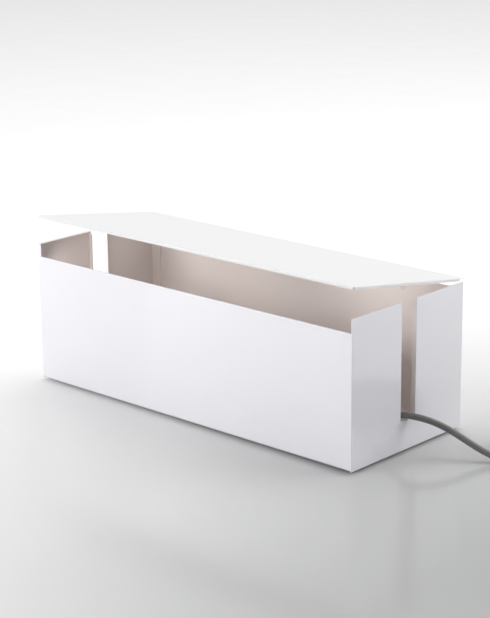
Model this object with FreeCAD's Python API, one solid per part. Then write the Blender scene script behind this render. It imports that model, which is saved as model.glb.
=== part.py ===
"""Desk-top cable box in painted sheet steel: a long tray with slotted end panels and a hinged lid.

Millimetres. X runs along the box (+X is the end the lead leaves by), the low front panel faces -Y,
+Z is up. The origin is on the table, under the middle of the footprint of box and hinges.
The lid group is modelled shut and then raised by LID_TILT about the hinge axis.
"""
import FreeCAD, Part
import math
import os

Vec = FreeCAD.Vector

# ---- driving dimensions: box ------------------------------------------------------------------
LENGTH = 395.0            # over the end panels
DEPTH = 155.4             # front face to back face, without the hinges
BODY_TOP = 138.4          # top of the end panels above the table
FRONT_TOP = 125.6         # top of the low front panel
BACK_TOP = 132.2          # top of the back panel, which leaves a vent under the lid
SHEET = 1.0               # steel sheet
PAD_HEIGHT = 2.0          # gap under the box, held by the base pads
BEND = 2.0                # outside bend radius of the folded shell
EDGE = 0.3                # radius left by the paint on a sheet edge

# ---- end panels ---------------------------------------------------------------------------------
SLOT_WIDTH = 20.5
SLOT_BOTTOM = 29.0        # lowest edge of the slot above the table
FLANGE = 3.5              # inward returns, beyond the sheet
RETURN_GAP = 0.2          # between the left panel's front return and the front panel
TAB = 12.0                # weld tabs inside the shell, beyond the sheet

# ---- lid and hinges -----------------------------------------------------------------------------
LID_GAP = 0.2             # between the end panels and the closed lid's rim
LID_RIM = 1.8             # rim turned down below the lid's sheet, along its front and ends
RIM_STOP = 6.0            # where the end rims stop, in front of the lid's back edge
LID_TILT = 9.0            # how far the lid stands open, degrees
LID_CORNER = 2.0          # radius of the lid's front corners in plan
LID_BEND = 0.9            # outside bend radius between lid and rim
HINGE_X = 118.0           # hinge centres left and right of the middle
HINGE_WIDTH = 40.0
LEAF = 1.0                # leaf thickness
LEAF_DROP = 25.0          # body leaf, below the hinge axis
LEAF_REACH = 19.0         # lid leaf, in front of the hinge axis
KNUCKLE_R = 2.6
LID_KNUCKLE = 17.8        # width of the lid leaf's knuckle
WASHER, WASHER_PLAY = 0.5, 0.05
PIN_R = 1.5
BODY_BORE_R, LID_BORE_R = 1.52, 1.55
PIN_HEAD_R, PIN_HEAD = 2.3, 0.9
LEAF_PLAY = 0.5           # between one leaf and the other leaf's knuckles
RIVET_R, RIVET_HOLE_R = 1.5, 1.55
RIVET_HEAD_R, RIVET_HEAD, RIVET_TAIL_R = 2.8, 0.9, 2.2
RIVET_X, RIVET_DROP = 12.0, 17.0     # from the hinge centre, below the axis
PAD_RADIUS, PAD_INSET = 7.0, 18.0

# ---- places worked out from them ---------------------------------------------------------------
FRONT_Y = -(DEPTH + 2 * KNUCKLE_R) / 2
BACK_Y = FRONT_Y + DEPTH
MID_Y = FRONT_Y + DEPTH / 2
END_X = LENGTH / 2
INNER_X = END_X - SHEET
LID_UNDER = BODY_TOP + LID_GAP + LID_RIM      # underside of the lid's sheet
HINGE_Y = BACK_Y + KNUCKLE_R
HINGE_Z = LID_UNDER - KNUCKLE_R
BODY_KNUCKLE_FROM = LID_KNUCKLE / 2 + WASHER + 2 * WASHER_PLAY

# ---- the lead that runs out through the right-hand slot ------------------------------------------
LEAD_D = 6.0
LEAD_LENGTH = 1400.0
# Route from the socket inside the box, over the slot's lower edge and down to the table.
LEAD_ROUTE = [
    (112.0, -17.0, 10.5), (126.0, -17.0, 10.5), (141.0, -16.0, 14.0), (156.0, -13.4, 20.4),
    (171.0, -10.0, 27.8), (187.0, -5.8, 32.9), (205.0, -0.2, 32.9), (219.0, 4.9, 30.4),
    (232.0, 9.6, 25.6), (244.0, 14.0, 19.0), (256.0, 18.3, 12.2), (268.0, 22.4, 6.7),
    (281.0, 26.8, 3.9), (295.0, 31.2, 3.9), (308.0, 35.2, 3.9),
]
# From the top of the coil to the plug.
LEAD_TAIL = [
    (308.0, 35.2, 9.8), (317.0, 37.9, 9.7), (326.0, 40.0, 8.2), (335.5, 41.2, 6.5),
    (345.0, 41.2, 6.5),
]
COIL_RADII = (42.0, 36.0, 30.0)      # one turn each on the table, then the outer two on top
COIL_LIFT = 0.9                      # tie under the turns
TIE_WIDTH, TIE_SHEET, TIE_PLAY, TIE_SAG = 7.0, 0.8, 0.05, 0.6

SOCKET_SIZE = (44.0, 24.0, 15.0)
SOCKET_CORNER = 3.0
PLUG_SIZE = (27.0, 22.0, 13.0)
PLUG_CORNER = 3.0
RELIEF_LENGTH, RELIEF_R_BIG, RELIEF_R_SMALL = 24.0, 5.2, 3.9
BLADE = (17.0, 1.5, 6.3)
BLADE_PITCH = 12.7
CONTACT = (14.0, 0.8, 7.0)
SLIT = (18.0, 2.4, 8.0)


def box(x0, x1, y0, y1, z0, z1):
    """Box between two corners given as ranges."""
    return Part.makeBox(x1 - x0, y1 - y0, z1 - z0, Vec(x0, y0, z0))


def rod_x(x0, x1, y, z, radius):
    """Cylinder along X."""
    return Part.makeCylinder(radius, x1 - x0, Vec(x0, y, z), Vec(1, 0, 0))


def rod_y(x, y0, y1, z, radius):
    """Cylinder along Y."""
    return Part.makeCylinder(radius, y1 - y0, Vec(x, y0, z), Vec(0, 1, 0))


def fuse(shapes):
    """One clean solid from touching shapes."""
    whole = shapes[0].multiFuse(shapes[1:]) if len(shapes) > 1 else shapes[0]
    return whole.removeSplitter()


def mirror_x(shape):
    """The same piece at the other end of the box."""
    return shape.mirror(Vec(0, 0, 0), Vec(1, 0, 0))


def raised(shape):
    """A lid piece, modelled shut, turned up to the angle it is left at."""
    turned = shape.copy()
    turned.rotate(Vec(0, HINGE_Y, HINGE_Z), Vec(1, 0, 0), -LID_TILT)
    return turned


def edges_along(shape, direction, where):
    """Straight edges parallel to a direction whose middle passes a test."""
    found = []
    for edge in shape.Edges:
        if len(edge.Vertexes) != 2:
            continue
        run = edge.Vertexes[1].Point - edge.Vertexes[0].Point
        middle = (edge.Vertexes[1].Point + edge.Vertexes[0].Point) * 0.5
        if run.cross(direction).Length < 1e-6 and where(middle):
            found.append(edge)
    return found


def export(name, shapes):
    """Write one node, a solid or a group of separate solids."""
    shape = shapes[0] if len(shapes) == 1 else Part.makeCompound(shapes)
    shape.exportStep("parts/%s.step" % name)
    print("%-24s %2d solid(s) %10.1f mm3" % (name, len(shape.Solids), shape.Volume))


# ---- box ------------------------------------------------------------------------------------------
def body_shell():
    """Front panel, base and back panel, folded from one sheet."""
    outer = box(-INNER_X, INNER_X, FRONT_Y, BACK_Y, PAD_HEIGHT, BACK_TOP)
    bends = edges_along(outer, Vec(1, 0, 0), lambda m: m.z < PAD_HEIGHT + 1)
    outer = outer.makeFillet(BEND, bends)
    hollow = box(-END_X, END_X, FRONT_Y + SHEET, BACK_Y - SHEET, PAD_HEIGHT + SHEET, BODY_TOP)
    inner_bends = edges_along(hollow, Vec(1, 0, 0), lambda m: m.z < PAD_HEIGHT + SHEET + 1)
    hollow = hollow.makeFillet(BEND - SHEET, inner_bends)
    low_front = box(-END_X, END_X, FRONT_Y - 1, MID_Y, FRONT_TOP, BODY_TOP)
    shell = outer.cut(hollow).cut(low_front)
    for x in rivet_places():
        shell = shell.cut(rod_y(x, BACK_Y - 2 * SHEET, BACK_Y + SHEET, HINGE_Z - RIVET_DROP,
                                RIVET_HOLE_R))
    tops = edges_along(shell, Vec(1, 0, 0), lambda m: m.z > FRONT_TOP - 0.1)
    return shell.makeFillet(EDGE, tops)


def end_panel_right():
    """End panel with its slot, the returns round the slot and the weld tabs."""
    slot_from, slot_to = MID_Y - SLOT_WIDTH / 2, MID_Y + SLOT_WIDTH / 2
    plate = box(INNER_X, END_X, FRONT_Y, BACK_Y, PAD_HEIGHT, BODY_TOP)
    plate = plate.cut(box(INNER_X - 1, END_X + 1, slot_from, slot_to, SLOT_BOTTOM, BODY_TOP + 1))
    rims = plate.Edges
    outside = [e for e in rims if all(abs(v.Point.x - END_X) < 1e-6 for v in e.Vertexes)]
    plate = plate.makeFillet(EDGE, outside)
    return_from = INNER_X - FLANGE
    sill = box(return_from, INNER_X, slot_from - SHEET, slot_to + SHEET, SLOT_BOTTOM - SHEET,
               SLOT_BOTTOM)
    cheeks = []
    for low, high in ((slot_from - SHEET, slot_from), (slot_to, slot_to + SHEET)):
        corners = [Vec(INNER_X, low, SLOT_BOTTOM), Vec(return_from, low, SLOT_BOTTOM),
                   Vec(return_from, low, BODY_TOP - FLANGE), Vec(INNER_X, low, BODY_TOP - EDGE),
                   Vec(INNER_X, low, SLOT_BOTTOM)]
        face = Part.Face(Part.makePolygon(corners))
        cheeks.append(face.extrude(Vec(0, high - low, 0)))
    tab_from = INNER_X - TAB
    base_z = PAD_HEIGHT + SHEET
    base_tab = box(tab_from, INNER_X, FRONT_Y + 3 * BEND, BACK_Y - 3 * BEND, base_z,
                   base_z + SHEET)
    front_tab = box(tab_from, INNER_X, FRONT_Y + SHEET, FRONT_Y + 2 * SHEET, base_z + BEND,
                    FRONT_TOP - SHEET)
    back_tab = box(tab_from, INNER_X, BACK_Y - 2 * SHEET, BACK_Y - SHEET, base_z + BEND,
                   BACK_TOP - SHEET)
    return fuse([plate, sill] + cheeks + [base_tab, front_tab, back_tab])


def end_panel_left(panel):
    """The other end panel, whose top and upper front edges are turned in as well."""
    reach = -INNER_X + FLANGE
    slot_from, slot_to = MID_Y - SLOT_WIDTH / 2, MID_Y + SLOT_WIDTH / 2
    front = box(-INNER_X, reach, FRONT_Y, FRONT_Y + SHEET, FRONT_TOP + RETURN_GAP, BODY_TOP)
    tops = [box(-INNER_X, reach, low, high, BODY_TOP - SHEET, BODY_TOP)
            for low, high in ((FRONT_Y, slot_from - SHEET), (slot_to + SHEET, BACK_Y))]
    return fuse([mirror_x(panel), front] + tops)


def base_pads():
    """Round stick-on pads under the base."""
    pads = []
    for x in (-END_X + PAD_INSET, END_X - PAD_INSET):
        for y in (FRONT_Y + PAD_INSET, BACK_Y - PAD_INSET):
            pad = Part.makeCylinder(PAD_RADIUS, PAD_HEIGHT, Vec(x, y, 0))
            pads.append(pad.makeFillet(0.4, [e for e in pad.Edges if e.Length > 20 and
                                             e.CenterOfMass.z < 0.1]))
    return pads


# ---- lid ------------------------------------------------------------------------------------------
def lid_panel():
    """Flat lid, the size of the box in plan, with a low rim along its front and ends."""
    rim_z, top = LID_UNDER - LID_RIM, LID_UNDER + SHEET
    lid = box(-END_X, END_X, FRONT_Y, BACK_Y, rim_z, top)
    lid = lid.makeFillet(LID_CORNER, edges_along(lid, Vec(0, 0, 1), lambda m: m.y < MID_Y))
    bends = [e for e in lid.Edges if all(abs(v.Point.z - top) < 1e-6 for v in e.Vertexes)
             and e.CenterOfMass.y < BACK_Y - 1]
    lid = lid.makeFillet(LID_BEND, bends)
    hollow = box(-INNER_X, INNER_X, FRONT_Y + SHEET, BACK_Y + 1, rim_z - 1, LID_UNDER)
    relief_at_hinges = box(-END_X - 1, END_X + 1, BACK_Y - RIM_STOP, BACK_Y + 1, rim_z - 1,
                           LID_UNDER)
    return raised(lid.cut(hollow).cut(relief_at_hinges))


# ---- hinges ---------------------------------------------------------------------------------------
def rivet_places():
    """X of the four rivets in the back panel."""
    return [side * HINGE_X + step for side in (-1, 1) for step in (-RIVET_X, RIVET_X)]


def knuckle(x0, x1, bore):
    """Rolled knuckle about the hinge axis."""
    return rod_x(x0, x1, HINGE_Y, HINGE_Z, KNUCKLE_R).cut(
        rod_x(x0 - 1, x1 + 1, HINGE_Y, HINGE_Z, bore))


def hinge_body_leaf(x):
    """Leaf riveted to the outside of the back panel, with the two outer knuckles."""
    half = HINGE_WIDTH / 2
    plate_top = HINGE_Z - KNUCKLE_R - LEAF_PLAY
    plate = box(x - half, x + half, BACK_Y, BACK_Y + LEAF, HINGE_Z - LEAF_DROP, plate_top)
    corners = edges_along(plate, Vec(0, 1, 0), lambda m: m.z < plate_top - 1)
    plate = plate.makeFillet(3.0, corners)
    pieces = [plate]
    for x0, x1 in ((x - half, x - BODY_KNUCKLE_FROM), (x + BODY_KNUCKLE_FROM, x + half)):
        pieces.append(box(x0, x1, BACK_Y, BACK_Y + LEAF, plate_top, HINGE_Z))
        pieces.append(knuckle(x0, x1, BODY_BORE_R))
    leaf = fuse(pieces)
    for rivet_x in (x - RIVET_X, x + RIVET_X):
        leaf = leaf.cut(rod_y(rivet_x, BACK_Y - 1, BACK_Y + LEAF + 1, HINGE_Z - RIVET_DROP,
                              RIVET_HOLE_R))
    return leaf


def hinge_lid_leaf(x):
    """Leaf welded under the lid, with the middle knuckle."""
    half = HINGE_WIDTH / 2
    plate_back = BACK_Y - LEAF_PLAY
    plate = box(x - half, x + half, HINGE_Y - LEAF_REACH, plate_back, LID_UNDER - LEAF, LID_UNDER)
    corners = edges_along(plate, Vec(0, 0, 1), lambda m: m.y < plate_back - 1)
    plate = plate.makeFillet(3.0, corners)
    neck = box(x - LID_KNUCKLE / 2, x + LID_KNUCKLE / 2, plate_back, HINGE_Y, LID_UNDER - LEAF,
               LID_UNDER)
    roll = knuckle(x - LID_KNUCKLE / 2, x + LID_KNUCKLE / 2, LID_BORE_R)
    return raised(fuse([plate, neck, roll]))


def hinge_pin(x):
    """Headed pin, peened over at its other end."""
    half = HINGE_WIDTH / 2
    shank = rod_x(x - half, x + half, HINGE_Y, HINGE_Z, PIN_R)
    head = rod_x(x + half, x + half + PIN_HEAD, HINGE_Y, HINGE_Z, PIN_HEAD_R)
    peen = rod_x(x - half - PIN_HEAD / 2, x - half, HINGE_Y, HINGE_Z, PIN_HEAD_R - 0.3)
    return fuse([shank, head, peen])


def hinge_washers(x):
    """Friction washers between the knuckles."""
    rings = []
    for x0 in (x - LID_KNUCKLE / 2 - WASHER_PLAY - WASHER, x + LID_KNUCKLE / 2 + WASHER_PLAY):
        ring = rod_x(x0, x0 + WASHER, HINGE_Y, HINGE_Z, KNUCKLE_R)
        rings.append(ring.cut(rod_x(x0 - 1, x0 + WASHER + 1, HINGE_Y, HINGE_Z, BODY_BORE_R)))
    return rings


def hinge_rivets():
    """Rivets through the body leaves and the back panel."""
    rivets = []
    z = HINGE_Z - RIVET_DROP
    outer, inner = BACK_Y + LEAF, BACK_Y - SHEET
    for x in rivet_places():
        head = rod_y(x, outer, outer + RIVET_HEAD, z, RIVET_HEAD_R)
        head = head.makeFillet(0.6, [e for e in head.Edges if e.CenterOfMass.y > outer + 0.1
                                     and len(e.Vertexes) == 1])
        rivets.append(fuse([head, rod_y(x, inner, outer, z, RIVET_R),
                            rod_y(x, inner - RIVET_HEAD, inner, z, RIVET_TAIL_R)]))
    return rivets


# ---- lead -----------------------------------------------------------------------------------------
def tube(points, diameter):
    """Round tube of straight runs joined by tangent arcs, each as large as its runs allow."""
    points = [Vec(*p) for p in points]
    edges, start, radii = [], points[0], []
    for before, corner, after in zip(points, points[1:], points[2:]):
        into, out = (corner - before).normalize(), (after - corner).normalize()
        turn = into.getAngle(out)
        setback = 0.45 * min((corner - before).Length, (after - corner).Length)
        radius = setback / math.tan(turn / 2)
        radii.append(radius)
        arc_start, arc_end = corner - into * setback, corner + out * setback
        centre = arc_start + (out - into * into.dot(out)).normalize() * radius
        middle = centre + (corner - centre).normalize() * radius
        edges.append(Part.LineSegment(start, arc_start).toShape())
        edges.append(Part.Arc(arc_start, middle, arc_end).toShape())
        start = arc_end
    edges.append(Part.LineSegment(start, points[-1]).toShape())
    path = Part.Wire(edges)
    section = Part.Wire(Part.Circle(points[0], points[1] - points[0], diameter / 2).toShape())
    solid = path.makePipeShell([section], True, True)
    expected = path.Length * math.pi * diameter ** 2 / 4
    print("tube: length %.1f, volume / expected %.4f" % (path.Length, solid.Volume / expected))
    print("tube radii:", " ".join("%.0f" % r for r in radii))
    return solid, path.Length


def coil_centre():
    """Middle of the coil: its outer turn carries straight on from the route, turning left."""
    before, last = Vec(*LEAD_ROUTE[-2]), Vec(*LEAD_ROUTE[-1])
    heading = (last - before).normalize()
    return Vec(last.x - heading.y * COIL_RADII[0], last.y + heading.x * COIL_RADII[0], 0)


def lead_coil(centre):
    """The put-away length as one ring of the turns' outer shape."""
    outer, inner = COIL_RADII[0] + LEAD_D / 2, COIL_RADII[-1] - LEAD_D / 2
    low = Vec(centre.x, centre.y, COIL_LIFT)
    return Part.makeCylinder(outer, 2 * LEAD_D, low).cut(Part.makeCylinder(inner, 2 * LEAD_D, low))


def lead_tie(centre):
    """Strap round the turns, on the side away from the box."""
    outer_x = centre.x + COIL_RADII[0] + LEAD_D / 2 + TIE_PLAY
    inside_x = centre.x + math.hypot(COIL_RADII[-1] - LEAD_D / 2, TIE_WIDTH / 2) - TIE_SAG
    y0, y1 = centre.y - TIE_WIDTH / 2, centre.y + TIE_WIDTH / 2
    low, high = COIL_LIFT - TIE_PLAY, COIL_LIFT + 2 * LEAD_D + TIE_PLAY
    strap = box(inside_x - TIE_SHEET, outer_x + TIE_SHEET, y0, y1, low - TIE_SHEET,
                high + TIE_SHEET)
    strap = strap.makeFillet(0.6, edges_along(strap, Vec(0, 1, 0), lambda m: True))
    return strap.cut(box(inside_x, outer_x, y0 - 1, y1 + 1, low, high))


def relief(start, direction):
    """Tapered strain relief, its wide end at a point."""
    return Part.makeCone(RELIEF_R_BIG, RELIEF_R_SMALL, RELIEF_LENGTH, start, direction)


def soft_box(corner, size, radius):
    """Moulded body along X with rounded long edges."""
    body = Part.makeBox(*size, corner)
    return body.makeFillet(radius, edges_along(body, Vec(1, 0, 0), lambda m: True))


def socket_parts():
    """Socket on the inner end of the lead, lying on the base, with its relief and contacts."""
    start = Vec(*LEAD_ROUTE[0])
    length, width, height = SOCKET_SIZE
    back_x = start.x - RELIEF_LENGTH
    nose_x, z0 = back_x - length, PAD_HEIGHT + SHEET
    body = soft_box(Vec(nose_x, start.y - width / 2, z0), SOCKET_SIZE, SOCKET_CORNER)
    mid_z = z0 + height / 2
    contacts = []
    for side in (-1, 1):
        y = start.y + side * BLADE_PITCH / 2
        body = body.cut(box(nose_x - 1, nose_x + SLIT[0], y - SLIT[1] / 2, y + SLIT[1] / 2,
                            mid_z - SLIT[2] / 2, mid_z + SLIT[2] / 2))
        spring_y = y + side * (SLIT[1] - CONTACT[1]) / 2
        spring_x = nose_x + SLIT[0] - CONTACT[0]
        contacts.append(box(spring_x, spring_x + CONTACT[0], spring_y - CONTACT[1] / 2,
                            spring_y + CONTACT[1] / 2, mid_z - CONTACT[2] / 2,
                            mid_z + CONTACT[2] / 2))
    return body, contacts, relief(Vec(back_x, start.y, start.z), Vec(1, 0, 0))


def plug_parts():
    """Two-blade plug lying on the table beyond the coil, with its relief."""
    end = Vec(*LEAD_TAIL[-1])
    length, width, height = PLUG_SIZE
    back_x = end.x + RELIEF_LENGTH
    body = soft_box(Vec(back_x, end.y - width / 2, 0), PLUG_SIZE, PLUG_CORNER)
    nose_x, mid_z = back_x + length, height / 2
    blades = []
    for side in (-1, 1):
        y = end.y + side * BLADE_PITCH / 2
        blades.append(box(nose_x, nose_x + BLADE[0], y - BLADE[1] / 2, y + BLADE[1] / 2,
                          mid_z - BLADE[2] / 2, mid_z + BLADE[2] / 2))
    return body, blades, relief(Vec(back_x, end.y, end.z), Vec(-1, 0, 0))


def main():
    """Build every piece and write it to its own file."""
    os.makedirs("parts", exist_ok=True)
    right_end = end_panel_right()
    export("body_shell", [body_shell()])
    export("end_panel_right", [right_end])
    export("end_panel_left", [end_panel_left(right_end)])
    export("base_pads", base_pads())
    export("lid_panel", [lid_panel()])
    for side, x in (("left", -HINGE_X), ("right", HINGE_X)):
        export("hinge_body_leaf_" + side, [hinge_body_leaf(x)])
        export("hinge_lid_leaf_" + side, [hinge_lid_leaf(x)])
        export("hinge_pin_" + side, [hinge_pin(x)])
        export("hinge_washers_" + side, hinge_washers(x))
    export("hinge_rivets", hinge_rivets())

    centre = coil_centre()
    ring = lead_coil(centre)
    cable, run = tube(LEAD_ROUTE, LEAD_D)
    tail, tail_run = tube(LEAD_TAIL, LEAD_D)
    turns = 2 * math.pi * (sum(COIL_RADII) + sum(COIL_RADII[:-1]) - 6.0)
    print("lead: run %.0f + turns %.0f + tail %.0f of %.0f mm; coil centre %.1f, %.1f"
          % (run, turns, tail_run, LEAD_LENGTH, centre.x, centre.y))
    export("lead_cable", [cable.cut(ring)])
    export("lead_coil", [ring])
    export("lead_tail", [tail.cut(ring)])
    export("lead_tie", [lead_tie(centre)])
    socket, contacts, boot = socket_parts()
    export("socket_body", [socket])
    export("socket_contacts", contacts)
    export("socket_strain_relief", [boot])
    plug, blades, plug_boot = plug_parts()
    export("plug_body", [plug])
    export("plug_blades", blades)
    export("plug_strain_relief", [plug_boot])


main()
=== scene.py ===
"""Looks of the desk-top cable box: painted sheet steel, a raised hinged lid and a dark lead.

Metres. X runs along the box and the lead leaves by its +X end, the low front panel faces -Y and
+Z is up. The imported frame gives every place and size; each class dresses or stands in for its nodes.
"""
from __future__ import annotations

import logging
import math
from dataclasses import dataclass
from enum import Enum
from typing import Sequence

import bmesh
import bpy
from mathutils import Matrix, Vector


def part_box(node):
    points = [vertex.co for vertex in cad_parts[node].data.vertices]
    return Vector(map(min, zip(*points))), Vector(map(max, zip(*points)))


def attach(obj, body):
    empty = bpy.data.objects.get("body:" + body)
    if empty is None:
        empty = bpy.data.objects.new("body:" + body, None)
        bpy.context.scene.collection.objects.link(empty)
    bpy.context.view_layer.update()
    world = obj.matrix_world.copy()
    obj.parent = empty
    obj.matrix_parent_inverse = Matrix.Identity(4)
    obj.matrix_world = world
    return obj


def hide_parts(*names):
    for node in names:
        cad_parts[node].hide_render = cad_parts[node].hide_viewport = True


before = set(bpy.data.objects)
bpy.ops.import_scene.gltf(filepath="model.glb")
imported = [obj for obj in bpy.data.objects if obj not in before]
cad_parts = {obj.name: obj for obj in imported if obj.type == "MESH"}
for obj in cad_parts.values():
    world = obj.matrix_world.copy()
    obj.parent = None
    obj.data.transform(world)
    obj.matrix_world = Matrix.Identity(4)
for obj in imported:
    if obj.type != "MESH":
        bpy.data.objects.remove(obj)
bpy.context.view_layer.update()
MM = 0.001
LOG = logging.getLogger("cable_box")

# Points closer than these are one: on a finished piece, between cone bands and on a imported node.
PIECE_MERGE = 1e-7
BAND_MERGE = 2e-6
PACKED_MERGE = 1e-6
CREASE = math.radians(35.0)

Socket = bpy.types.NodeSocket
Colour = tuple[float, float, float]
Place = tuple[float, float, float]


# ---- node trees -----------------------------------------------------------------------------------
class Network:
    """Node tree with short calls for sockets and arithmetic."""

    tree: bpy.types.NodeTree

    def put(self, socket: Socket, value: object) -> None:
        """Link a socket to an output, or set its value."""
        if isinstance(value, bpy.types.NodeSocket):
            self.tree.links.new(value, socket)
        elif isinstance(value, tuple) and socket.type == "RGBA":
            socket.default_value = (*value, 1.0)
        else:
            socket.default_value = value

    def maths(self, kind: str, a: object, b: object = 0.0) -> Socket:
        """Output of one Math node."""
        node = self.tree.nodes.new("ShaderNodeMath")
        node.operation = kind
        for socket, value in zip(node.inputs, (a, b)):
            self.put(socket, value)
        return node.outputs[0]


class Paintwork(Network):
    """Shader tree of one material, with short calls for the patterns that the finishes share."""

    def __init__(self, name: str, diffuse: Colour) -> None:
        """Start an empty material.

        Args:
            name: name of the material.
            diffuse: plain colour shown where nodes aren't.
        """
        self.material = bpy.data.materials.new(name)
        self.material.use_nodes = True
        self.material.diffuse_color = (*diffuse, 1.0)
        self.tree = self.material.node_tree
        self.tree.nodes.clear()
        self.coordinates = self.tree.nodes.new("ShaderNodeTexCoord")

    @property
    def place(self) -> Socket:
        """Object coordinates in metres."""
        return self.coordinates.outputs["Object"]

    def ramp(self, value: Socket, low: float, high: float, to_low: float = 0.0,
             to_high: float = 1.0) -> Socket:
        """Value taken smoothly from one range to another."""
        node = self.tree.nodes.new("ShaderNodeMapRange")
        node.interpolation_type = "SMOOTHSTEP"
        for socket, number in zip(node.inputs, (value, low, high, to_low, to_high)):
            self.put(socket, number)
        return node.outputs[0]

    def noise(self, scale: float, detail: float = 3.0, roughness: float = 0.55,
              stretch: tuple[float, float, float] = (1.0, 1.0, 1.0)) -> Socket:
        """Noise on Object coordinates.

        Args:
            scale: pattern repeats per metre.
            detail: octaves.
            roughness: share of the fine octaves.
            stretch: how much denser the pattern is along each axis.

        Returns:
            Noise factor, about 0.5 on average.
        """
        mapping = self.tree.nodes.new("ShaderNodeMapping")
        self.put(mapping.inputs["Vector"], self.place)
        mapping.inputs["Scale"].default_value = stretch
        node = self.tree.nodes.new("ShaderNodeTexNoise")
        self.put(node.inputs["Vector"], mapping.outputs[0])
        node.inputs["Scale"].default_value = scale
        node.inputs["Detail"].default_value = detail
        node.inputs["Roughness"].default_value = roughness
        return node.outputs[0]

    def mix(self, factor: object, a: object, b: object) -> Socket:
        """Mix of two colours."""
        node = self.tree.nodes.new("ShaderNodeMix")
        node.data_type = "RGBA"
        self.put(node.inputs[0], factor)
        self.put(node.inputs[6], a)
        self.put(node.inputs[7], b)
        return node.outputs[2]

    def bump(self, height: Socket, depth: float, strength: float,
             over: Socket | None = None) -> Socket:
        """Bump of a height that runs from 0 to 1 over a depth in metres."""
        node = self.tree.nodes.new("ShaderNodeBump")
        node.inputs["Strength"].default_value = strength
        node.inputs["Distance"].default_value = depth
        self.put(node.inputs["Height"], height)
        if over is not None:
            self.put(node.inputs["Normal"], over)
        return node.outputs[0]

    def finish(self, **values: object) -> bpy.types.Material:
        """Close the tree with one Principled shader.

        Args:
            values: its sockets, with underscores for the spaces in their names.

        Returns:
            The material.
        """
        shader = self.tree.nodes.new("ShaderNodeBsdfPrincipled")
        for name, value in values.items():
            self.put(shader.inputs[name.replace("_", " ")], value)
        output = self.tree.nodes.new("ShaderNodeOutputMaterial")
        self.tree.links.new(shader.outputs[0], output.inputs["Surface"])
        return self.material


# ---- finishes -------------------------------------------------------------------------------------
@dataclass(frozen=True)
class PaintedSteel:
    """Satin-gloss stoved paint on steel sheet, with a warm painted shade on faces inside the inner
    planes: the same white steel, tinted to stand in for the warm bounced light inside the box.
    """

    name: str
    outside: Colour = (0.80, 0.79, 0.83)
    # inside: warm tint of the inner faces, painted shade standing in for the bounced light inside the
    # box
    inside: Colour = (0.87, 0.81, 0.79)
    inner: tuple[tuple[Vector, float], ...] = ()
    blend: float = 0.05 * MM
    roughness: float = 0.30
    peel_depth: float = 0.03 * MM
    grain_depth: float = 0.006 * MM
    coat: float = 0.55
    coat_roughness: float = 0.06

    def warm_shade_share(self, paint: Paintwork) -> Socket | float:
        """1 on faces that lie inside all the inner planes, where the warm painted shade goes, and 0
        elsewhere.
        """
        share: Socket | float = 1.0
        for normal, offset in self.inner:
            dot = paint.tree.nodes.new("ShaderNodeVectorMath")
            dot.operation = "DOT_PRODUCT"
            paint.put(dot.inputs[0], paint.place)
            dot.inputs[1].default_value = normal
            share = paint.maths("MULTIPLY", share, paint.ramp(
                dot.outputs["Value"], offset - self.blend, offset + self.blend))
        return share

    def material(self) -> bpy.types.Material:
        """Build the paint.

        Returns:
            Material with a faint orange peel, cloudy gloss and a warm painted shade on the inner
            faces.
        """
        paint = Paintwork(self.name, self.outside)
        clouds = paint.ramp(paint.noise(9.0, 4.0), 0.3, 0.7)
        cool = paint.mix(clouds, tuple(c * 0.99 for c in self.outside), self.outside)
        # warm: the inside colour with its random tone, the painted shade of faces inside the box
        warm = paint.mix(clouds, tuple(c * 0.985 for c in self.inside), self.inside)
        colour = paint.mix(self.warm_shade_share(paint), cool, warm)
        peel = paint.bump(paint.noise(620.0, 2.0, 0.5), self.peel_depth, 0.5)
        grain = paint.bump(paint.noise(2600.0, 2.0, 0.5), self.grain_depth, 0.5, peel)
        gloss = paint.ramp(paint.noise(14.0, 3.0), 0.25, 0.75, self.roughness - 0.015,
                           self.roughness + 0.02)
        return paint.finish(Base_Color=colour, Roughness=gloss, Normal=grain,
                            Coat_Weight=self.coat, Coat_Roughness=self.coat_roughness, IOR=1.5)


@dataclass(frozen=True)
class PlatedSteel:
    """Bright metal of pins, blades and contacts, with fine turning marks."""

    name: str
    colour: Colour = (0.60, 0.60, 0.61)
    roughness: float = 0.28

    def material(self) -> bpy.types.Material:
        """Build the plating."""
        plate = Paintwork(self.name, self.colour)
        stain = plate.ramp(plate.noise(340.0, 5.0), 0.35, 0.7)
        colour = plate.mix(stain, self.colour, tuple(c * 0.78 for c in self.colour))
        marks = plate.noise(2400.0, 2.0, 0.5, (1.0, 0.25, 0.25))
        gloss = plate.ramp(stain, 0.0, 1.0, self.roughness - 0.06, self.roughness + 0.12)
        return plate.finish(Base_Color=colour, Metallic=1.0, Roughness=gloss,
                            Normal=plate.bump(marks, 0.01 * MM, 0.5))


@dataclass(frozen=True)
class SoftPlastic:
    """Moulded or extruded plastic and rubber with a fine satin grain."""

    name: str
    colour: Colour
    roughness: float = 0.45
    grain: float = 1500.0
    depth: float = 0.012
    scatter: float = 0.0

    def material(self) -> bpy.types.Material:
        """Build the plastic.

        Returns:
            Material with cloudy colour, rubbed patches and a fine grain.
        """
        plastic = Paintwork(self.name, self.colour)
        rubbed = plastic.ramp(plastic.noise(75.0, 5.0, 0.6), 0.42, 0.72)
        lighter = tuple(min(1.0, c * 1.14 + 0.004) for c in self.colour)
        colour = plastic.mix(rubbed, self.colour, lighter)
        gloss = plastic.ramp(rubbed, 0.0, 1.0, self.roughness, self.roughness + 0.10)
        grain = plastic.noise(self.grain, 3.0, 0.6)
        return plastic.finish(Base_Color=colour, Roughness=gloss,
                              Normal=plastic.bump(grain, self.depth * MM, 0.6),
                              Subsurface_Weight=self.scatter, Subsurface_Scale=0.6 * MM)


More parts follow.
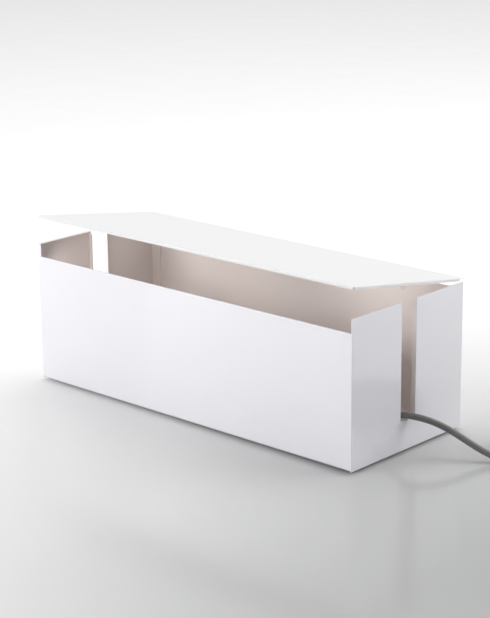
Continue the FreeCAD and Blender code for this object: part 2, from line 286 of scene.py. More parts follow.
@dataclass(frozen=True)
class TableTop:
    """Smooth pale table top with a painted shadow: darker round one centre by the box, standing in for
    its cast shadow, and pale farther off.
    """

    # painted_shadow is the painted shadow's colour at its centre; centre and reach set where it lies
    # and how wide it fades
    painted_shadow: Colour = (0.35, 0.353, 0.355)
    table_colour: Colour = (0.90, 0.90, 0.90)
    centre: Place = (0.45, -0.15, 0.0)
    reach: float = 0.85
    roughness: float = 0.16

    def material(self) -> bpy.types.Material:
        """Build the table's lacquer, with its painted shadow."""
        top = Paintwork("table_top", self.painted_shadow)
        # painted shadow: the colour darkens towards the centre by the box's right end, in place of its
        # cast shadow; the noise wobbles the shadow's edge
        from_shadow_centre = top.tree.nodes.new("ShaderNodeVectorMath")
        from_shadow_centre.operation = "DISTANCE"
        top.put(from_shadow_centre.inputs[0], top.place)
        from_shadow_centre.inputs[1].default_value = self.centre
        shadow_edge_wobble = top.maths("MULTIPLY", top.maths("SUBTRACT", top.noise(2.5, 3.0), 0.5), 0.04)
        distance = top.maths("ADD", from_shadow_centre.outputs["Value"], shadow_edge_wobble)
        colour = top.mix(top.ramp(distance, 0.0, self.reach), self.painted_shadow, self.table_colour)
        gloss = top.ramp(top.noise(14.0, 4.0), 0.3, 0.7, self.roughness - 0.01,
                         self.roughness + 0.02)
        return top.finish(Base_Color=colour, Roughness=gloss, IOR=1.45,
                          Normal=top.bump(top.noise(900.0, 2.0), 0.01 * MM, 0.2))


# ---- mesh building --------------------------------------------------------------------------------
class Shading(Enum):
    """How a new mesh takes light."""

    FLAT = "flat"
    SMOOTH = "smooth"
    BY_ANGLE = "by_angle"


def added(name: str, data: bpy.types.ID) -> bpy.types.Object:
    """Object at the origin, linked to the scene."""
    thing = bpy.data.objects.new(name, data)
    bpy.context.scene.collection.objects.link(thing)
    return thing


def shade(mesh: bpy.types.Mesh, shading: Shading) -> None:
    """Set a mesh's shading."""
    if shading is Shading.BY_ANGLE:
        mesh.shade_smooth()
        mesh.set_sharp_from_angle(angle=CREASE)
    elif shading is Shading.SMOOTH:
        mesh.shade_smooth()
    else:
        mesh.shade_flat()


def cleaned(work: bmesh.types.BMesh, mesh: bpy.types.Mesh, shading: Shading) -> None:
    """Merge points, turn faces outward and write them to a mesh; the faces are freed here."""
    bmesh.ops.remove_doubles(work, verts=work.verts, dist=PIECE_MERGE)
    bmesh.ops.recalc_face_normals(work, faces=work.faces)
    work.to_mesh(mesh)
    work.free()
    shade(mesh, shading)


def settled(name: str, work: bmesh.types.BMesh, finish: bpy.types.Material,
            shading: Shading = Shading.BY_ANGLE) -> bpy.types.Object:
    """Turn worked-on faces into a finished piece.

    Args:
        name: name of the piece.
        work: its faces; freed here.
        finish: its material.
        shading: how it takes light.

    Returns:
        The piece, at the origin.
    """
    mesh = bpy.data.meshes.new(name)
    cleaned(work, mesh, shading)
    mesh.materials.append(finish)
    return added(name, mesh)


def loft(work: bmesh.types.BMesh, rings: Sequence[Sequence[Vector]], capped: bool = True) -> None:
    """Skin closed rings of equal counts, in order.

    Args:
        work: faces to add to.
        rings: rings of points.
        capped: close both ends.
    """
    rows = [[work.verts.new(point) for point in ring] for ring in rings]
    count = len(rows[0])
    for one, two in zip(rows, rows[1:]):
        for i in range(count):
            work.faces.new((one[i], one[(i + 1) % count], two[(i + 1) % count], two[i]))
    if capped:
        work.faces.new(rows[0][::-1])
        work.faces.new(rows[-1])


def superellipse(centre: Vector, width: float, height: float, power: float,
                 count: int) -> list[Vector]:
    """Ring square to X.

    Args:
        centre: middle of the ring.
        width: full size along Y.
        height: full size along Z.
        power: 2 is an ellipse and more is squarer.
        count: points of the ring.

    Returns:
        The points.
    """
    points = []
    for i in range(count):
        a = 2 * math.pi * i / count
        c, s = math.cos(a), math.sin(a)
        reach = (abs(c) ** power + abs(s) ** power) ** (-1 / power)
        points.append(centre + Vector((0.0, c * reach * width / 2, s * reach * height / 2)))
    return points


# ---- geometry nodes -------------------------------------------------------------------------------
class Pattern(Network):
    """Geometry Nodes tree with named inputs, run once into a plain mesh."""

    def __init__(self, name: str) -> None:
        """Start a tree with a geometry input and output."""
        self.tree = bpy.data.node_groups.new(name, "GeometryNodeTree")
        face = self.tree.interface
        face.new_socket("Geometry", in_out="INPUT", socket_type="NodeSocketGeometry")
        face.new_socket("Geometry", in_out="OUTPUT", socket_type="NodeSocketGeometry")
        self.inlet = self.tree.nodes.new("NodeGroupInput")
        self.outlet = self.tree.nodes.new("NodeGroupOutput")
        self.sizes: dict[str, object] = {}

    def size(self, name: str, value: object, kind: str = "Float") -> Socket:
        """Add a named input and keep its value for the modifier."""
        self.tree.interface.new_socket(name, in_out="INPUT", socket_type="NodeSocket" + kind)
        self.sizes[name] = value
        return self.inlet.outputs[name]

    def node(self, kind: str, settings: dict[str, object] | None = None,
             **values: object) -> bpy.types.Node:
        """Add a node.

        Args:
            kind: node type without its prefix.
            settings: properties of the node itself.
            values: its inputs by name, with underscores for spaces, as outputs or plain values.

        Returns:
            The node.
        """
        prefix = "" if kind.startswith("ShaderNode") else "GeometryNode"
        node = self.tree.nodes.new(prefix + kind)
        for name, value in (settings or {}).items():
            setattr(node, name, value)
        for name, value in values.items():
            self.put(node.inputs[name.replace("_", " ")], value)
        return node

    def vector(self, x: object = 0.0, y: object = 0.0, z: object = 0.0) -> Socket:
        """Vector of three values."""
        return self.node("ShaderNodeCombineXYZ", X=x, Y=y, Z=z).outputs[0]

    def joined(self, parts: Sequence[Socket]) -> Socket:
        """Several geometries as one."""
        join = self.tree.nodes.new("GeometryNodeJoinGeometry")
        for part in parts:
            self.tree.links.new(part, join.inputs[0])
        return join.outputs[0]

    def grown(self, name: str, points: Sequence[Vector], result: Socket,
              finish: bpy.types.Material, shading: Shading = Shading.BY_ANGLE,
              ) -> bpy.types.Object:
        """Close the tree, run it on points and keep the plain mesh.

        Args:
            name: name of the piece.
            points: vertices that the tree gets.
            result: geometry that the tree has made.
            finish: material of the piece.
            shading: how it takes light.

        Returns:
            The piece, at the origin.
        """
        material = self.size("Finish", finish, "Material")
        real = self.node("RealizeInstances", Geometry=result)
        dressed = self.node("SetMaterial", Geometry=real.outputs[0], Material=material)
        self.tree.links.new(dressed.outputs[0], self.outlet.inputs[0])
        host_mesh = bpy.data.meshes.new(name + "_points")
        host_mesh.from_pydata([tuple(p) for p in points], [], [])
        host = added(name + "_host", host_mesh)
        modifier = host.modifiers.new(self.tree.name, "NODES")
        modifier.node_group = self.tree
        for item in self.tree.interface.items_tree:
            if item.in_out == "INPUT" and item.name in self.sizes:
                modifier[item.identifier] = self.sizes[item.name]
        bpy.context.view_layer.update()
        graph = bpy.context.evaluated_depsgraph_get()
        mesh = bpy.data.meshes.new_from_object(host.evaluated_get(graph), depsgraph=graph)
        host.modifiers.remove(modifier)
        bpy.data.objects.remove(host)
        mesh.name = name
        work = bmesh.new()
        work.from_mesh(mesh)
        cleaned(work, mesh, shading)
        if not mesh.materials:
            mesh.materials.append(finish)
        return added(name, mesh)

    def stack(self, profile: Sequence[tuple[float, float]], around: Socket) -> Socket:
        """Body of revolution about Z from a stack of cone faces.

        Args:
            profile: radius and height of each corner, in metres, from one pole to the other.
            around: number of faces round the body.

        Returns:
            The geometry, open where the profile doesn't reach the axis.
        """
        bands = []
        for (r0, z0), (r1, z1) in zip(profile, profile[1:]):
            (bottom, low), (top, high) = ((r0, z0), (r1, z1)) if z0 <= z1 else ((r1, z1), (r0, z0))
            cone = self.node("MeshCone", {"fill_type": "NONE"}, Vertices=around,
                             Radius_Bottom=bottom, Radius_Top=top, Depth=high - low)
            bands.append(self.node("Transform", Geometry=cone.outputs["Mesh"],
                                   Translation=(0.0, 0.0, low)).outputs[0])
        merged = self.node("MergeByDistance", Geometry=self.joined(bands), Distance=BAND_MERGE)
        return merged.outputs[0]

    def repeated(self, unit: Socket, turn: object, points: Socket | None = None) -> Socket:
        """A unit turned by Euler angles on every point, the tree's own unless others are given."""
        spots = self.node("MeshToPoints", Mesh=points or self.inlet.outputs[0])
        placed = self.node("InstanceOnPoints", Points=spots.outputs[0], Instance=unit,
                           Rotation=turn)
        return placed.outputs[0]


def dress(finish: bpy.types.Material, *nodes: str) -> None:
    """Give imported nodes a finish."""
    for name in nodes:
        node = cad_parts[name]
        node.data.materials.clear()
        node.data.materials.append(finish)


def mounted(piece: bpy.types.Object, body: str, slot: str, *nodes: str) -> bpy.types.Object:
    """Put a finished piece on its body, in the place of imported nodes."""
    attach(piece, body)
    if nodes:
        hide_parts(*nodes)
    LOG.info("%s: %d faces on %s", piece.name,
             len(piece.data.polygons) if piece.type == "MESH" else 0, body)
    return piece


def middles(node: str, count: int) -> list[Vector]:
    """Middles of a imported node's separate pieces, at the corners of its box.

    Args:
        node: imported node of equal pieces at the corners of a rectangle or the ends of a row.
        count: loose pieces to find.

    Returns:
        One middle per piece.
    """
    work = bmesh.new()
    work.from_mesh(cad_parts[node].data)
    bmesh.ops.remove_doubles(work, verts=work.verts, dist=PACKED_MERGE)
    left, found = set(work.verts), []
    while left:
        waiting, seen = [left.pop()], set()
        while waiting:
            vert = waiting.pop()
            seen.add(vert)
            beside = {edge.other_vert(vert) for edge in vert.link_edges} & left
            left -= beside
            waiting.extend(beside)
        low = Vector([min(v.co[i] for v in seen) for i in range(3)])
        high = Vector([max(v.co[i] for v in seen) for i in range(3)])
        found.append((low + high) / 2)
    work.free()
    if len(found) != count:
        raise ValueError(f"{node} has {len(found)} pieces and not {count}")
    return found


# ---- box and lid ----------------------------------------------------------------------------------
@dataclass(frozen=True)
class Finishes:
    """The materials shared by the sub-assemblies."""

    box_paint: bpy.types.Material
    lid_paint: bpy.types.Material
    pin: bpy.types.Material
    rivet: bpy.types.Material
    washer: bpy.types.Material
    pad: bpy.types.Material
    sheath: bpy.types.Material
    moulded: bpy.types.Material
    strap: bpy.types.Material
    brass: bpy.types.Material


@dataclass
class TrayBox:
    """Folded shell, slotted end panels, spot welds and the pads under the base."""

    sheet: float = 1.0 * MM
    skin: float = 0.1 * MM
    tab_middle: float = 6.0 * MM
    first_weld: float = 13.0 * MM
    weld_margin: float = 14.0 * MM
    weld_pitch: float = 24.0 * MM
    weld_radius: float = 2.2 * MM
    weld_height: float = 0.14 * MM
    pad_radius: float = 7.0 * MM
    pad_height: float = 2.0 * MM

    def inner_planes(self) -> tuple[tuple[Vector, float], ...]:
        """Planes just outside the box's inner faces, as normals into the box and offsets."""
        reach = self.sheet - self.skin
        low = Vector((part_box("end_panel_left")[0].x, *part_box("body_shell")[0].yz)) + \
            Vector((reach, reach, reach))
        high = Vector((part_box("end_panel_right")[1].x, *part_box("body_shell")[1].yz)) - \
            Vector((reach, reach, reach))
        return ((Vector((1, 0, 0)), low.x), (Vector((-1, 0, 0)), -high.x),
                (Vector((0, 1, 0)), low.y), (Vector((0, -1, 0)), -high.y),
                (Vector((0, 0, 1)), low.z))

    def welds(self, finish: bpy.types.Material) -> None:
        """Painted spot welds down the end panels' tabs, inside the shell."""
        shell_low, shell_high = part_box("body_shell")
        spots = []
        for panel in ("end_panel_left", "end_panel_right"):
            low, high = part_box(panel)
            side = 1 if low.x < 0 else -1
            x = (low.x if side > 0 else high.x) + side * (self.sheet + self.tab_middle)
            z = shell_low.z + self.first_weld
            while z < shell_high.z - self.weld_margin:
                spots.append(Vector((x, shell_low.y + 2 * self.sheet, z)))
                spots.append(Vector((x, shell_high.y - 2 * self.sheet - self.weld_height, z)))
                z += self.weld_pitch
        pattern = Pattern("spot_welds")
        faces = pattern.size("Faces", 20, "Int")
        radius, rise = self.weld_radius, self.weld_height
        front = pattern.stack([(0.0, 0.0), (radius, 0.0), (0.86 * radius, 0.6 * rise),
                               (0.5 * radius, rise), (0.0, 0.7 * rise)], faces)
        back = pattern.stack([(0.0, rise), (radius, rise), (0.86 * radius, 0.4 * rise),
                              (0.5 * radius, 0.0), (0.0, 0.3 * rise)], faces)
        turn = pattern.size("Turn", (-math.pi / 2, 0.0, 0.0), "Vector")
        front_only = pattern.node("SeparateGeometry", {"domain": "POINT"},
                                  Geometry=pattern.inlet.outputs[0])
        where = pattern.node("InputPosition").outputs[0]
        depth = pattern.node("ShaderNodeSeparateXYZ", Vector=where).outputs[1]
        pattern.tree.links.new(pattern.maths("LESS_THAN", depth, 0.0), front_only.inputs[1])
        rows = [pattern.repeated(front, turn, front_only.outputs[0]),
                pattern.repeated(back, turn, front_only.outputs[1])]
        welds = pattern.grown("spot_welds", spots, pattern.joined(rows), finish)
        mounted(welds, "box", "painted_steel")

    def pads(self, finish: bpy.types.Material) -> None:
        """Round rubber pads with a raised rim on the underside."""
        pattern = Pattern("base_pads")
        faces = pattern.size("Faces", 56, "Int")
        r, h = self.pad_radius, self.pad_height
        unit = pattern.stack([(0.0, 0.3 * MM), (0.62 * r, 0.3 * MM), (0.66 * r, 0.05 * MM),
                              (0.72 * r, 0.0), (0.92 * r, 0.0), (0.98 * r, 0.12 * MM),
                              (r, 0.4 * MM), (0.985 * r, 0.7 * h), (0.94 * r, h), (0.0, h)], faces)
        spots = [Vector((p.x, p.y, 0.0)) for p in middles("base_pads", 4)]
        turn = pattern.size("Turn", (0.0, 0.0, 0.0), "Vector")
        pads = pattern.grown("base_pads_moulded", spots, pattern.repeated(unit, turn), finish)
        mounted(pads, "box", "pad_rubber", "base_pads")

    def build(self, finishes: Finishes) -> None:
        """Dress the sheet metal and build what repeats on it."""
        dress(finishes.box_paint, "body_shell", "end_panel_left", "end_panel_right")
        self.welds(finishes.box_paint)
        self.pads(finishes.pad)


@dataclass
class RaisedLid:
    """Flat lid with a low rim, left raised."""

    tilt: float = math.radians(9.0)
    sheet: float = 1.0 * MM
    rim: float = 1.8 * MM
    skin: float = 0.1 * MM

    def inner_planes(self) -> tuple[tuple[Vector, float], ...]:
        """Planes just outside the faces under the lid and behind its rim."""
        turn = Matrix.Rotation(-self.tilt, 3, "X")
        up, back = turn @ Vector((0, 0, 1)), turn @ Vector((0, 1, 0))
        points = [v.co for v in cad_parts["lid_panel"].data.vertices]
        reach = self.sheet - self.skin
        under = min(point.dot(up) for point in points) + self.rim + self.skin
        front = min(point.dot(back) for point in points) + reach
        low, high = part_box("lid_panel")
        return ((-up, -under), (back, front), (Vector((1, 0, 0)), low.x + reach),
                (Vector((-1, 0, 0)), reach - high.x))

    def build(self, finishes: Finishes) -> None:
        """Dress the lid."""
        dress(finishes.lid_paint, "lid_panel")


@dataclass
class LidHinges:
    """Two butt hinges on the back, with pins, friction washers and domed rivets."""

    head_radius: float = 2.8 * MM
    head_height: float = 0.9 * MM
    tail_radius: float = 2.2 * MM
    shank_radius: float = 1.45 * MM
    leaf: float = 1.0 * MM
    sheet: float = 1.0 * MM

    def rivets(self, finish: bpy.types.Material) -> None:
        """Domed rivets with set tails, through the body leaves and the back panel."""
        pattern = Pattern("hinge_rivets")
        faces = pattern.size("Faces", 32, "Int")
        r, h = self.head_radius, self.head_height
        t, shank = self.tail_radius, self.shank_radius
        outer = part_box("body_shell")[1].y + self.leaf
        inner = outer - self.leaf - self.sheet
        tail = -(outer - inner) - h
        unit = pattern.stack([(0.0, h), (0.35 * r, 0.95 * h), (0.65 * r, 0.74 * h),
                              (0.88 * r, 0.42 * h), (r, 0.06 * h), (0.97 * r, 0.0),
                              (shank, 0.0), (shank, inner - outer), (t, inner - outer),
                              (t, tail + 0.35 * h), (0.8 * t, tail), (0.45 * t, tail),
                              (0.3 * t, tail + 0.5 * h), (0.0, tail + 0.6 * h)], faces)
        turn = pattern.size("Turn", (-math.pi / 2, 0.0, 0.0), "Vector")
        spots = [Vector((p.x, outer, p.z)) for p in middles("hinge_rivets", 4)]
        rivets = pattern.grown("hinge_rivets_set", spots, pattern.repeated(unit, turn), finish)
        mounted(rivets, "box", "rivet_steel", "hinge_rivets")

    def build(self, finishes: Finishes) -> None:
        """Dress leaves, pins and washers and build the rivets."""
        for side in ("left", "right"):
            dress(finishes.box_paint, "hinge_body_leaf_" + side)
            dress(finishes.lid_paint, "hinge_lid_leaf_" + side)
            dress(finishes.pin, "hinge_pin_" + side)
            dress(finishes.washer, "hinge_washers_" + side)
        self.rivets(finishes.rivet)


# ---- lead -----------------------------------------------------------------------------------------
def eased(value: float, start: float, end: float) -> float:
    """Smooth step from 0 at start to 1 at end."""
    x = min(1.0, max(0.0, (value - start) / (end - start)))
    return x * x * (3 - 2 * x)


@dataclass
class PowerLead:
    """Round lead from a socket inside the box, out over the slot, to a tied coil and a plug."""

    diameter: float = 6.0 * MM
    route: Sequence[Place] = (
        (0.106, -0.017, 0.0105), (0.126, -0.017, 0.0105), (0.141, -0.016, 0.0140),
        (0.156, -0.0134, 0.0204), (0.171, -0.010, 0.0278), (0.187, -0.0058, 0.0329),
        (0.205, -0.0002, 0.0329), (0.219, 0.0049, 0.0304), (0.232, 0.0096, 0.0256),
        (0.244, 0.014, 0.0190), (0.256, 0.0183, 0.0122), (0.268, 0.0224, 0.0067),
        (0.281, 0.0268, 0.0039), (0.295, 0.0312, 0.0039), (0.308, 0.0352, 0.0039),
    )
    tail: Sequence[Place] = (
        (0.308, 0.0352, 0.0098), (0.317, 0.0379, 0.0097), (0.326, 0.0400, 0.0082),
        (0.3355, 0.0412, 0.0065), (0.351, 0.0412, 0.0065),
    )
    low: float = 3.9 * MM
    outer_turn: float = 42.0 * MM
    turns: int = 5
    per_turn: int = 16
    inward: Sequence[tuple[float, float]] = ((0.72, 1.0), (1.72, 2.0))
    climb: tuple[float, float] = (2.45, 2.8)
    outward: Sequence[tuple[float, float]] = ((3.1, 3.42), (4.1, 4.42))
    curve_share: float = 0.981
    relief_length: float = 24.0 * MM
    relief_wide: float = 5.2 * MM
    relief_narrow: float = 3.75 * MM
    relief_groove: float = 0.75 * MM
    relief_ribs: float = 7.0
    plug_power: float = 3.4
    plug_faces: int = 56
    grip_faces: int = 16
    strap_sheet: float = 0.8 * MM
    strap_power: float = 5.0

    def coil(self) -> list[Vector]:
        """Points of the tied turns: three on the table from the outside in, then two on top.

        The lead moves in, up and out over the shares of turns that the fields give. Its curve runs
        inside its points, at curve_share of their distance from the centre.

        Returns:
            The points, in order along the lead.
        """
        last, before = Vector(self.route[-1]), Vector(self.route[-2])
        ahead = (last - before).normalized()
        centre = last + Vector((-ahead.y, ahead.x, 0)) * self.outer_turn
        start = math.atan2(last.y - centre.y, last.x - centre.x)
        points = []
        for i in range(1, self.turns * self.per_turn):
            u = i / self.per_turn
            inward = sum(eased(u, *step) for step in self.inward)
            outward = sum(eased(u, *step) for step in self.outward)
            radius = self.outer_turn + (outward - inward) * self.diameter
            z = self.low + eased(u, *self.climb) * self.diameter
            a = start + 2 * math.pi * u
            reach = radius / self.curve_share
            points.append(Vector((centre.x + reach * math.cos(a), centre.y + reach * math.sin(a),
                                  z)))
        return points

    def sheath(self, finish: bpy.types.Material) -> bpy.types.Object:
        """The lead itself, one smooth curve."""
        points = [Vector(p) for p in self.route] + self.coil() + [Vector(p) for p in self.tail]
        data = bpy.data.curves.new("power_lead", "CURVE")
        data.dimensions = "3D"
        data.bevel_depth = self.diameter / 2
        data.bevel_resolution = 6
        data.resolution_u = 6
        data.use_fill_caps = True
        line = data.splines.new("NURBS")
        line.points.add(len(points) - 1)
        for point, place in zip(line.points, points):
            point.co = (*place, 1.0)
        line.order_u = 3
        line.use_endpoint_u = True
        data.materials.append(finish)
        return added("power_lead", data)

    def relief(self, name: str, wide: Vector, toward: float,
               finish: bpy.types.Material) -> bpy.types.Object:
        """Ribbed, tapered strain relief along X.

        Args:
            name: name of the piece.
            wide: middle of its wide end.
            toward: 1 where it narrows towards +X and -1 towards -X.
            finish: its material.

        Returns:
            The relief.
        """
        pattern = Pattern(name)
        wide_radius = pattern.size("Wide Radius", self.relief_wide)
        narrow_radius = pattern.size("Narrow Radius", self.relief_narrow)
        groove = pattern.size("Groove Depth", self.relief_groove)
        ribs = pattern.size("Ribs", self.relief_ribs)
        length = pattern.size("Length", toward * self.relief_length)
        along = pattern.node("CurvePrimitiveLine", Start=tuple(wide))
        end = pattern.node("ShaderNodeVectorMath", {"operation": "ADD"})
        end.inputs[0].default_value = wide
        pattern.tree.links.new(pattern.vector(length), end.inputs[1])
        pattern.tree.links.new(end.outputs[0], along.inputs["End"])
        fine = pattern.node("ResampleCurve", Curve=along.outputs[0], Count=113)
        t = pattern.node("SplineParameter").outputs[0]
        taper = pattern.maths("ADD", wide_radius, pattern.maths(
            "MULTIPLY", t, pattern.maths("SUBTRACT", narrow_radius, wide_radius)))
        wave = pattern.maths("SINE", pattern.maths("MULTIPLY", t, pattern.maths(
            "MULTIPLY", ribs, 2 * math.pi)))
        cut = pattern.node("ShaderNodeMapRange", {"interpolation_type": "SMOOTHSTEP"},
                           Value=wave, From_Min=0.15, From_Max=0.7)
        inside = pattern.node("ShaderNodeMapRange", {"interpolation_type": "SMOOTHSTEP"},
                              Value=t, From_Min=0.08, From_Max=0.16)
        depth = pattern.maths("MULTIPLY", pattern.maths("MULTIPLY", cut.outputs[0], groove),
                              inside.outputs[0])
        rounding = pattern.node("ShaderNodeMapRange", {"interpolation_type": "SMOOTHERSTEP"},
                                Value=t, From_Min=1.0, From_Max=0.955, To_Min=0.84, To_Max=1.0)
        radius = pattern.maths("MULTIPLY", pattern.maths("SUBTRACT", taper, depth),
                               rounding.outputs[0])
        ring = pattern.node("CurvePrimitiveCircle", Resolution=40, Radius=1.0)
        tube = pattern.node("CurveToMesh", Curve=fine.outputs[0], Profile_Curve=ring.outputs[0],
                            Scale=radius, Fill_Caps=True)
        return pattern.grown(name, [wide], tube.outputs[0], finish)

    def grips(self, name: str, spots: Sequence[Vector], size: Vector,
              finish: bpy.types.Material) -> bpy.types.Object:
        """Row of rounded upright ribs.

        Args:
            name: name of the piece.
            spots: middle of each rib.
            size: full size of one rib.
            finish: its material.

        Returns:
            The ribs as one piece.
        """
        pattern = Pattern(name)
        line = pattern.node("CurvePrimitiveLine", Start=(0.0, 0.0, -size.z / 2 + size.x / 2),
                            End=(0.0, 0.0, size.z / 2 - size.x / 2))
        ring = pattern.node("CurvePrimitiveCircle", Resolution=self.grip_faces,
                            Radius=pattern.size("Rib Radius", size.x / 2))
        bar = pattern.node("CurveToMesh", Curve=line.outputs[0], Profile_Curve=ring.outputs[0])
        ends = []
        for sign in (-1, 1):
            ball = pattern.node("MeshUVSphere", Segments=self.grip_faces,
                                Rings=self.grip_faces // 2, Radius=size.x / 2)
            ends.append(pattern.node("Transform", Geometry=ball.outputs["Mesh"], Translation=(
                0.0, 0.0, sign * (size.z / 2 - size.x / 2))).outputs[0])
        turn = pattern.size("Turn", (0.0, 0.0, 0.0), "Vector")
        return pattern.grown(name, spots,
                             pattern.repeated(pattern.joined([bar.outputs[0], *ends]), turn),
                             finish, Shading.SMOOTH)

    def plug(self, finishes: Finishes) -> list[bpy.types.Object]:
        """Waisted plug body with finger ribs, its relief and its blades."""
        low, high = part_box("plug_body")
        middle = (low + high) / 2
        width, height, length = high.y - low.y, high.z - low.z, high.x - low.x
        work = bmesh.new()
        shape = ((0.0, 0.50, 0.78), (0.02, 0.58, 0.86), (0.07, 0.68, 0.93), (0.16, 0.76, 0.97),
                 (0.30, 0.80, 0.98), (0.46, 0.80, 0.98), (0.60, 0.85, 0.99), (0.72, 0.95, 1.0),
                 (0.80, 0.995, 1.0), (0.93, 1.0, 1.0), (0.975, 0.975, 0.965), (1.0, 0.92, 0.88))
        loft(work, [superellipse(Vector((low.x + t * length, middle.y, middle.z)), w * width,
                                 h * height, self.plug_power, self.plug_faces)
                    for t, w, h in shape])
        body = settled("plug_moulding", work, finishes.moulded)
        mounted(body, "box", "moulded_plug", "plug_body")
        spots = [Vector((low.x + (0.20 + 0.075 * i) * length, middle.y + side * 0.395 * width,
                         middle.z)) for side in (-1, 1) for i in range(5)]
        ribs = self.grips("plug_grips", spots, Vector((1.1, 1.1, 8.2)) * MM, finishes.moulded)
        mounted(ribs, "box", "moulded_plug")
        boot = self.relief("plug_relief_ribbed", Vector((low.x + 0.6 * MM, middle.y, middle.z)),
                           -1.0, finishes.moulded)
        mounted(boot, "box", "moulded_plug", "plug_strain_relief")
        dress(finishes.brass, "plug_blades")
        return [body, ribs, boot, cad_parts["plug_blades"]]

    def socket(self, finishes: Finishes) -> list[bpy.types.Object]:
        """Socket on the lead's inner end, with finger ribs, its relief and its contacts."""
        low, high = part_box("socket_body")
        middle, length = (low + high) / 2, high.x - low.x
        dress(finishes.moulded, "socket_body")
        dress(finishes.brass, "socket_contacts")
        spots = [Vector((low.x + (0.58 + 0.06 * i) * length, y, middle.z))
                 for y in (low.y + 0.1 * MM, high.y - 0.1 * MM) for i in range(6)]
        ribs = self.grips("socket_grips", spots, Vector((1.3, 1.3, 9.0)) * MM, finishes.moulded)
        mounted(ribs, "box", "moulded_plug")
        relief_low, relief_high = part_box("socket_strain_relief")
        boot = self.relief("socket_relief_ribbed",
                           Vector((relief_low.x - 0.6 * MM, middle.y,
                                   (relief_low.z + relief_high.z) / 2)), 1.0, finishes.moulded)
        mounted(boot, "box", "moulded_plug", "socket_strain_relief")
        return [ribs, boot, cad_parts["socket_body"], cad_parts["socket_contacts"]]

    def tie(self, finish: bpy.types.Material) -> bpy.types.Object:
        """Soft strap round the turns with a lap that ends on top."""
        low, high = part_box("lead_tie")
        sheet, width = self.strap_sheet, high.y - low.y
        middle = (low + high) / 2
        half_x, half_z = (high.x - low.x - sheet) / 2, (high.z - low.z - sheet) / 2

        def around(share: float, lift: float) -> Vector:
            """Point of the strap's middle line, lifted off the loop."""
            a = 2 * math.pi * share
            c, s = math.cos(a), math.sin(a)
            hx, hz = half_x + lift, half_z + lift
            reach = (abs(c) ** self.strap_power + abs(s) ** self.strap_power) ** (
                -1 / self.strap_power)
            return Vector((middle.x + c * reach * hx, middle.y, middle.z + s * reach * hz))

        def band(work: bmesh.types.BMesh, start: float, end: float, count: int, lift: float,
                 closed: bool) -> None:
            """Strap with rounded edges from one share of the loop to another."""
            section = [(-0.5, -0.25), (-0.5, 0.25), (-0.46, 0.5), (0.46, 0.5), (0.5, 0.25),
                       (0.5, -0.25), (0.46, -0.5), (-0.46, -0.5)]
            rings = []
            for i in range(count + (0 if closed else 1)):
                share = start + (end - start) * i / count
                here = around(share, lift)
                ahead = (around(share + 0.004, lift) - around(share - 0.004, lift)).normalized()
                out = ahead.cross(Vector((0, 1, 0)))
                rings.append([here + Vector((0, y * width, 0)) + out * (n * sheet)
                              for y, n in section])
            if closed:
                loft(work, rings + [rings[0]], capped=False)
            else:
                loft(work, rings)

        work = bmesh.new()
        band(work, 0.0, 1.0, 96, 0.0, True)
        band(work, -0.02, 0.20, 24, 0.8 * sheet, False)
        return settled("lead_tie_strap", work, finish)

    def build(self, finishes: Finishes) -> None:
        lead = self.sheath(finishes.sheath)
        mounted(lead, "box", "lead_sheath", "lead_cable", "lead_coil", "lead_tail")
        strap = self.tie(finishes.strap)
        mounted(strap, "box", "tie_strap", "lead_tie")
        others = [strap, *self.plug(finishes), *self.socket(finishes)]


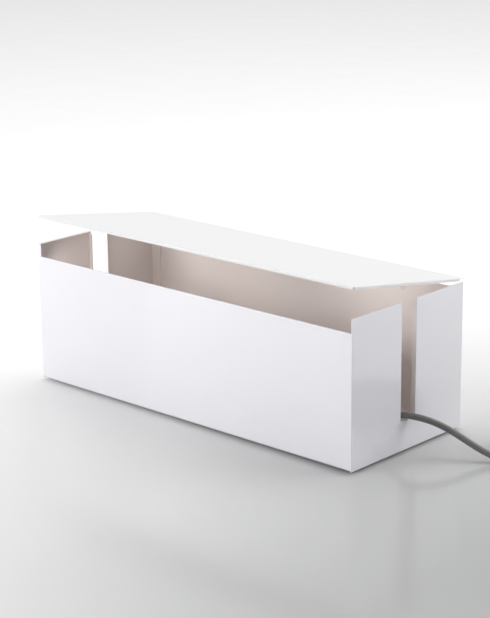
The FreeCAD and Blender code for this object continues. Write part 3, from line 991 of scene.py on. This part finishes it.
# ---- studio ---------------------------------------------------------------------------------------
@dataclass
class Studio:
    """Pale table, soft lights and the camera."""

    eye: Place = (1.150711, -1.238805, 0.587069)
    turn: float = 42.853
    down: float = 16.324
    roll: float = -0.586
    lens: float = 109.40
    table_half: float = 6.0
    room_dark: float = 0.24
    room_bright: float = 0.86
    bright_side: Place = (-0.70, 0.62, 0.35)
    dark_until: float = -0.9
    bright_from: float = 0.7
    warm: Colour = (1.0, 0.95, 0.91)

    def camera(self) -> None:
        """Camera at the right-hand front corner, slightly above the box."""
        data = bpy.data.cameras.new("camera")
        data.sensor_fit, data.sensor_width, data.lens = "AUTO", 36.0, self.lens
        data.clip_end = 50.0
        yaw, pitch, roll = (math.radians(a) for a in (self.turn, self.down, self.roll))
        ahead = Vector((-math.sin(yaw) * math.cos(pitch), math.cos(yaw) * math.cos(pitch),
                        -math.sin(pitch)))
        right = ahead.cross(Vector((0, 0, 1))).normalized()
        up = right.cross(ahead)
        across = right * math.cos(roll) + up * math.sin(roll)
        above = up * math.cos(roll) - right * math.sin(roll)
        camera = added("camera", data)
        camera.matrix_world = Matrix.Translation(self.eye) @ Matrix(
            (across, above, -ahead)).transposed().to_4x4()
        bpy.context.scene.camera = camera

    def table(self, finish: bpy.types.Material) -> None:
        """Large flat table top."""
        work = bmesh.new()
        bmesh.ops.create_grid(work, x_segments=8, y_segments=8, size=self.table_half)
        top = settled("table", work, finish, Shading.FLAT)

    def light(self, name: str, place: Place, aim: Place, size: tuple[float, float],
              power: float, colour: Colour = (1.0, 1.0, 1.0), spread: float = 180.0) -> None:
        """Rectangular soft light.

        Args:
            name: name of the light.
            place: where it hangs.
            aim: point that it faces.
            size: width and height.
            power: watts.
            colour: its colour.
            spread: full angle that it lights, in degrees.
        """
        data = bpy.data.lights.new(name, "AREA")
        data.shape, data.size, data.size_y = "RECTANGLE", *size
        data.energy, data.color, data.spread = power, colour, math.radians(spread)
        lamp = added(name, data)
        lamp.visible_camera = False
        lamp.location = place
        lamp.rotation_euler = (Vector(aim) - Vector(place)).to_track_quat("-Z", "Y").to_euler()

    def room(self) -> None:
        """Plain room light, bright from the back left and above and darker from the front right."""
        world = bpy.data.worlds.new("room")
        world.use_nodes = True
        nodes, links = world.node_tree.nodes, world.node_tree.links
        toward = nodes.new("ShaderNodeVectorMath")
        toward.operation = "DOT_PRODUCT"
        toward.inputs[1].default_value = self.bright_side
        links.new(nodes.new("ShaderNodeTexCoord").outputs["Generated"], toward.inputs[0])
        level = nodes.new("ShaderNodeMapRange")
        level.interpolation_type = "SMOOTHSTEP"
        links.new(toward.outputs["Value"], level.inputs[0])
        limits = (self.dark_until, self.bright_from, self.room_dark, self.room_bright)
        for socket, value in zip(level.inputs[1:], limits):
            socket.default_value = value
        links.new(level.outputs[0], nodes["Background"].inputs[1])
        nodes["Background"].inputs[0].default_value = (1.0, 1.0, 1.0, 1.0)
        bpy.context.scene.world = world

    def lamps(self) -> None:
        """Three soft lamps round the box and two small ones behind its front panel.

        The small ones aren't part of the box: they lift the brightness inside it and under its lid.
        """
        self.light("key", (-0.9, -1.55, 0.55), (-0.1, 0.0, 0.08), (1.0, 0.7), 18.2)
        self.light("side", (1.5, 1.5, 0.9), (0.2, 0.1, 0.05), (1.4, 1.2), 21.0)
        self.light("back", (-0.5, 1.1, 2.5), (0.0, 0.2, 0.0), (3.0, 1.6), 34.0)
        self.light("inside", (-0.11, -0.0765, 0.112), (-0.11, 0.075, 0.112), (0.16, 0.012), 0.030,
                   self.warm, 130.0)
        self.light("under_lid", (0.11, -0.0765, 0.116), (0.11, 0.075, 0.130), (0.08, 0.008),
                   0.010, self.warm, 60.0)

    def build(self) -> None:
        """Set up camera, table, room light and lamps."""
        self.camera()
        self.table(TableTop().material())
        self.room()
        bpy.context.scene.view_settings.view_transform = "Standard"
        self.lamps()


def main() -> None:
    """Build every sub-assembly in order."""
    logging.basicConfig(level=logging.INFO, format="%(name)s: %(message)s")
    studio, box, lid, lead = Studio(), TrayBox(), RaisedLid(), PowerLead()
    studio.build()
    finishes = Finishes(
        # box, lid and rivet paints carry the warm painted shade on faces inside the box and under the
        # lid
        box_paint=PaintedSteel("box_paint", inner=box.inner_planes()).material(),
        # the lid and its hinge leaves take a darker, neutral copy of the box's white: painted shade
        # that tones down the lid's lit top
        lid_paint=PaintedSteel("lid_paint", (0.74, 0.74, 0.745),
                               inner=lid.inner_planes()).material(),
        pin=PlatedSteel("pin_steel").material(),
        rivet=PaintedSteel("rivet_paint", inner=box.inner_planes()).material(),
        washer=SoftPlastic("washer_nylon", (0.55, 0.54, 0.50), 0.4, scatter=0.2).material(),
        pad=SoftPlastic("pad_rubber", (0.028, 0.028, 0.028), 0.6, 900.0, 0.03).material(),
        sheath=SoftPlastic("lead_sheath", (0.19, 0.188, 0.180), 0.28).material(),
        moulded=SoftPlastic("moulded_plug", (0.052, 0.052, 0.049), 0.46, 1100.0, 0.03).material(),
        strap=SoftPlastic("tie_strap", (0.022, 0.022, 0.023), 0.75, 1700.0, 0.12).material(),
        brass=PlatedSteel("contact_brass", (0.72, 0.60, 0.38), 0.24).material(),
    )
    lead.build(finishes)
    box.build(finishes)
    lid.build(finishes)
    LidHinges().build(finishes)


if __name__ == "__main__":
    main()
